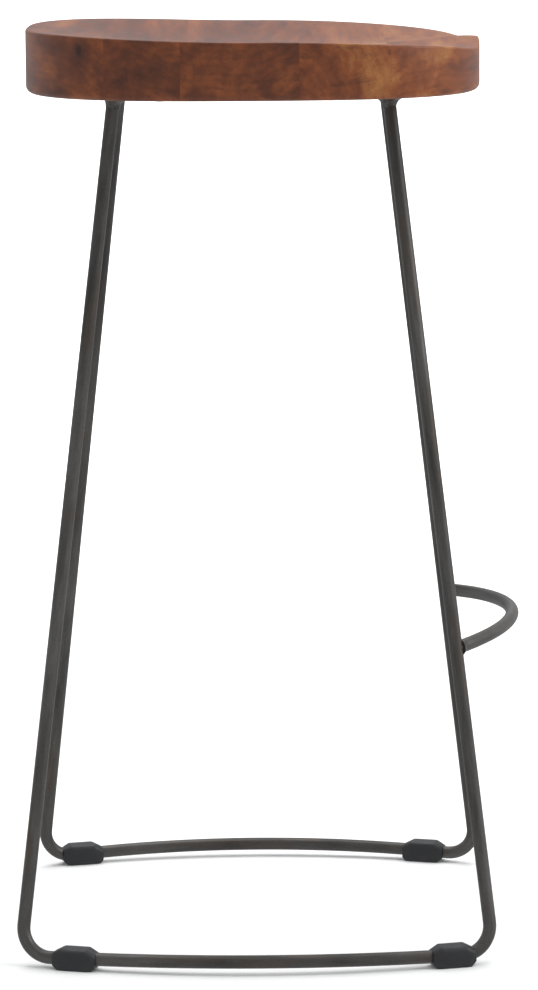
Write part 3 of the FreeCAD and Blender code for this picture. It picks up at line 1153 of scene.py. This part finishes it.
POINT_SHARE = 0.2           # width of the screw's tip, as a share of its thread


def pan_head_screw(screw, bar_thickness, bite):
    """One wood screw standing on its head, the seat of the head at Z = 0."""
    deselect()
    bpy.ops.mesh.primitive_cylinder_add(
        vertices=36,
        radius=screw.head / 2,
        depth=screw.head_height,
        location=(0, 0, -screw.head_height / 2),
    )
    piece = named("screw")
    settle(piece)
    edit(piece)
    lowest = -screw.head_height + 0.1 * MM
    bevel_where(piece, lambda a, b: max(a.z, b.z) < lowest, screw.head_rounding, 5)
    pick(piece, faces=lambda face: face.normal.z > 0.9)
    extrude((0, 0, 0))
    share = screw.thread / screw.head
    scale_about((0, 0, 0), share, share, 1)
    extrude((0, 0, bar_thickness))
    height = bar_thickness
    thin = screw.core / screw.thread
    while height < bar_thickness + bite - 2 * screw.pitch:
        for rise, size in ((0.3, thin), (0.3, 1.0), (0.3, 1 / thin), (0.1, 1.0)):
            height += rise * screw.pitch
            extrude((0, 0, rise * screw.pitch))
            scale_about((0, 0, height), size, size, 1)
    tip = bar_thickness + bite
    extrude((0, 0, tip - height))
    scale_about((0, 0, tip), POINT_SHARE, POINT_SHARE, 1)
    key_size = (screw.socket, screw.socket, 2 * screw.socket_depth)
    key = block("square_key", (0, 0, -screw.head_height), key_size)
    cut_away(piece, key)
    discard(key)
    outward(piece)
    return piece


class STOOL_OT_seat_screws(bpy.types.Operator):
    """Models one pan-head wood screw and drives a copy into every place"""

    bl_idname = "stool.seat_screws"
    bl_label = "Seat screws"

    def execute(self, context):
        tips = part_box("seat_screws")[1].z
        bar_low, bar_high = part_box("side_bar_left")
        thickness = bar_high.z - bar_low.z
        settings = context.scene.stool_screw
        screw = pan_head_screw(settings, thickness, tips - bar_high.z)
        driven = []
        for index, place in enumerate(loose_middles("seat_screws")):
            made = copy_of(screw, "screw_copy")
            made.location = (place.x, place.y, bar_low.z)
            made.rotation_euler.z = 0.7 * index
            settle(made)
            driven.append(made)
        discard(screw)
        screws = join(driven, "seat_screws_driven")
        smooth(screws, 30)
        material = zinc_plate("zinc_plated_screw", settings)
        hand_over(screws, "screw_steel", material, "seat_screws")
        return {"FINISHED"}


# ---------------------------------------------------------------- the glides


def moulded_glide(glide):
    """One glide lying along X, before its bore is cut: a block whose ends taper to the rail."""
    half = glide.length / 2
    shoulder = half - glide.taper
    size = (2 * shoulder, glide.width, glide.height)
    piece = block("glide", (0, 0, glide.height / 2), size)
    edit(piece)
    for way in (-1, 1):
        pick(piece, faces=lambda face: face.normal.x * way > 0.9)
        extrude((way * glide.taper, 0, 0))
        narrower = 1 - 2 * glide.side_slope / glide.width
        scale_about((way * half, 0, 0), 1, narrower, 1 - glide.nose / glide.height)

    def along(a, b):
        return abs(a.x - b.x) > 3 * MM and min(a.z, b.z) > glide.height * 0.6

    bevel_where(piece, along, glide.round, 6)
    for end in (-half, half):

        def at_foot(a, b):
            return max(a.z, b.z) < 0.1 * MM and max(abs(a.x - end), abs(b.x - end)) < 0.1 * MM

        bevel_where(piece, at_foot, glide.corner_chamfer if end < 0 else glide.chamfer)
    bpy.ops.object.mode_set(mode="OBJECT")
    outward(piece)
    ease_edges(piece, glide.edge, 20)
    return piece


class STOOL_OT_floor_glides(bpy.types.Operator):
    """Moulds the four floor glides round the floor rails"""

    bl_idname = "stool.floor_glides"
    bl_label = "Floor glides"

    def execute(self, context):
        steel = context.scene.stool_frame
        glide = context.scene.stool_glide
        material = moulded_polyethylene("moulded_black_polyethylene", glide)
        pattern = moulded_glide(glide)
        for name, side in SIDES.items():
            rod = bpy.data.objects["side_frame_%s_bent" % name]
            for end, front in (("back", False), ("front", True)):
                near = (side < 0) == front
                setback = glide.near_setback if near else glide.far_setback
                heading = rail_heading(steel, front, side)
                centre = floor_corner(steel, front, side) + heading * setback
                node_name = "floor_glide_%s_%s" % (end, name)
                made = copy_of(pattern, node_name + "_moulded")
                made.rotation_euler.z = math.atan2(heading.y, heading.x)
                made.location = (centre.x, centre.y, 0)
                settle(made)
                cut_away(made, rod)
                smooth(made, 30)
                hand_over(made, "glide_plastic", material, node_name)
        discard(pattern)
        return {"FINISHED"}


# ---------------------------------------------------------------- the stage


FLOOR_SIZE = 14
BACKDROP_HEIGHT = 7
SWEEP_RADIUS = 3            # of the curve between the floor and the backdrop
# Name, place, what it is aimed at, size in metres, power in watts.
SOFTBOXES = (
    ("front_softbox", (3.2, -0.6, 2.2), (0, 0, 0.4), 2.0, 55),
    ("top_softbox", (0.0, 0.8, 3.4), (0, 0, 0.3), 3.0, 90),
    ("backdrop_softbox", (0.0, 3.0, 3.6), (0, 7, 1.6), 4.0, 260),
)


def add_camera(studio):
    """The camera, low and far, at the stool's right side."""
    deselect()
    bpy.ops.object.camera_add(location=(studio.camera_x, -studio.camera_distance, studio.camera_height))
    camera = named("camera")
    aim = Matrix.Rotation(-studio.yaw, 4, "Z") @ Matrix.Rotation(math.pi / 2 - studio.pitch, 4, "X")
    roll = Matrix.Rotation(studio.roll, 4, "Z")
    camera.matrix_world = Matrix.Translation(camera.location) @ aim @ roll
    camera.data.lens = studio.lens
    camera.data.sensor_width = 36
    camera.data.clip_end = 50
    camera.data.dof.use_dof = False
    bpy.context.scene.camera = camera


def add_softbox(name, place, aim, size, power):
    """A square white lamp aimed at a point."""
    deselect()
    bpy.ops.object.light_add(type="AREA", location=place)
    lamp = named(name)
    lamp.rotation_euler = (Vector(aim) - Vector(place)).to_track_quat("-Z", "Y").to_euler()
    lamp.data.size = size
    lamp.data.energy = power


def add_backdrop(studio):
    """A pale floor that curves up into a backdrop behind the stool."""
    deselect()
    bpy.ops.mesh.primitive_plane_add(size=FLOOR_SIZE, location=(0, 0, 0))
    floor = named("studio_floor")
    edit(floor)
    pick(floor, edges=lambda a, b: min(a.y, b.y) > 5)
    extrude((0, 0, BACKDROP_HEIGHT))
    bevel_where(floor, lambda a, b: min(a.y, b.y) > 5 and max(a.z, b.z) < 0.1, SWEEP_RADIUS, 16)
    bpy.ops.object.mode_set(mode="OBJECT")
    smooth(floor, 60)
    floor.data.materials.append(studio_paper(studio))
    floor.visible_glossy = False


def light_surround(studio):
    """An even pale surround."""
    world = bpy.data.worlds.new("studio_surround")
    bpy.context.scene.world = world
    world.use_nodes = True
    background = world.node_tree.nodes["Background"]
    background.inputs["Color"].default_value = studio.surround
    background.inputs["Strength"].default_value = studio.surround_strength


class STOOL_OT_stage(bpy.types.Operator):
    """Sets up the camera, the soft lamps, the surround and the pale floor"""

    bl_idname = "stool.stage"
    bl_label = "Stage"

    def execute(self, context):
        studio = context.scene.stool_studio
        context.scene.view_settings.view_transform = "Standard"
        add_camera(studio)
        add_backdrop(studio)
        light_surround(studio)
        for row in SOFTBOXES:
            add_softbox(*row)
        return {"FINISHED"}


# ---------------------------------------------------------------- the add-on


class STOOL_PT_sidebar(bpy.types.Panel):
    """Lists the stool's pieces in the order in which they are made"""

    bl_idname = "STOOL_PT_sidebar"
    bl_label = "Bar stool"
    bl_space_type = "VIEW_3D"
    bl_region_type = "UI"
    bl_category = "Bar stool"

    def draw(self, context):
        for step in STEPS:
            self.layout.operator(step.bl_idname)
        for attribute, group in SETTINGS.items():
            box = self.layout.box()
            box.label(text=group.__doc__)
            for key in group.__annotations__:
                box.prop(getattr(context.scene, attribute), key)


SETTINGS = {
    "stool_seat": SeatSettings,
    "stool_wood": WoodSettings,
    "stool_frame": FrameSettings,
    "stool_weld": WeldSettings,
    "stool_screw": ScrewSettings,
    "stool_iron": IronSettings,
    "stool_glide": GlideSettings,
    "stool_studio": StudioSettings,
}
STEPS = (
    STOOL_OT_seat_mount,
    STOOL_OT_seat_screws,
    STOOL_OT_seat_boards,
    STOOL_OT_rods,
    STOOL_OT_weld_beads,
    STOOL_OT_floor_glides,
    STOOL_OT_stage,
)


def register():
    """Registers the settings, the operators and the panel."""
    for attribute, group in SETTINGS.items():
        bpy.utils.register_class(group)
        setattr(bpy.types.Scene, attribute, bpy.props.PointerProperty(type=group))
    for item in (*STEPS, STOOL_PT_sidebar):
        bpy.utils.register_class(item)


def unregister():
    """Removes what register added."""
    for item in (STOOL_PT_sidebar, *reversed(STEPS)):
        bpy.utils.unregister_class(item)
    for attribute, group in reversed(SETTINGS.items()):
        delattr(bpy.types.Scene, attribute)
        bpy.utils.unregister_class(group)


def main():
    """Makes the stool's pieces in order."""
    register()
    for step in STEPS:
        group, name = step.bl_idname.split(".")
        getattr(getattr(bpy.ops, group), name)()


if __name__ == "__main__":
    main()
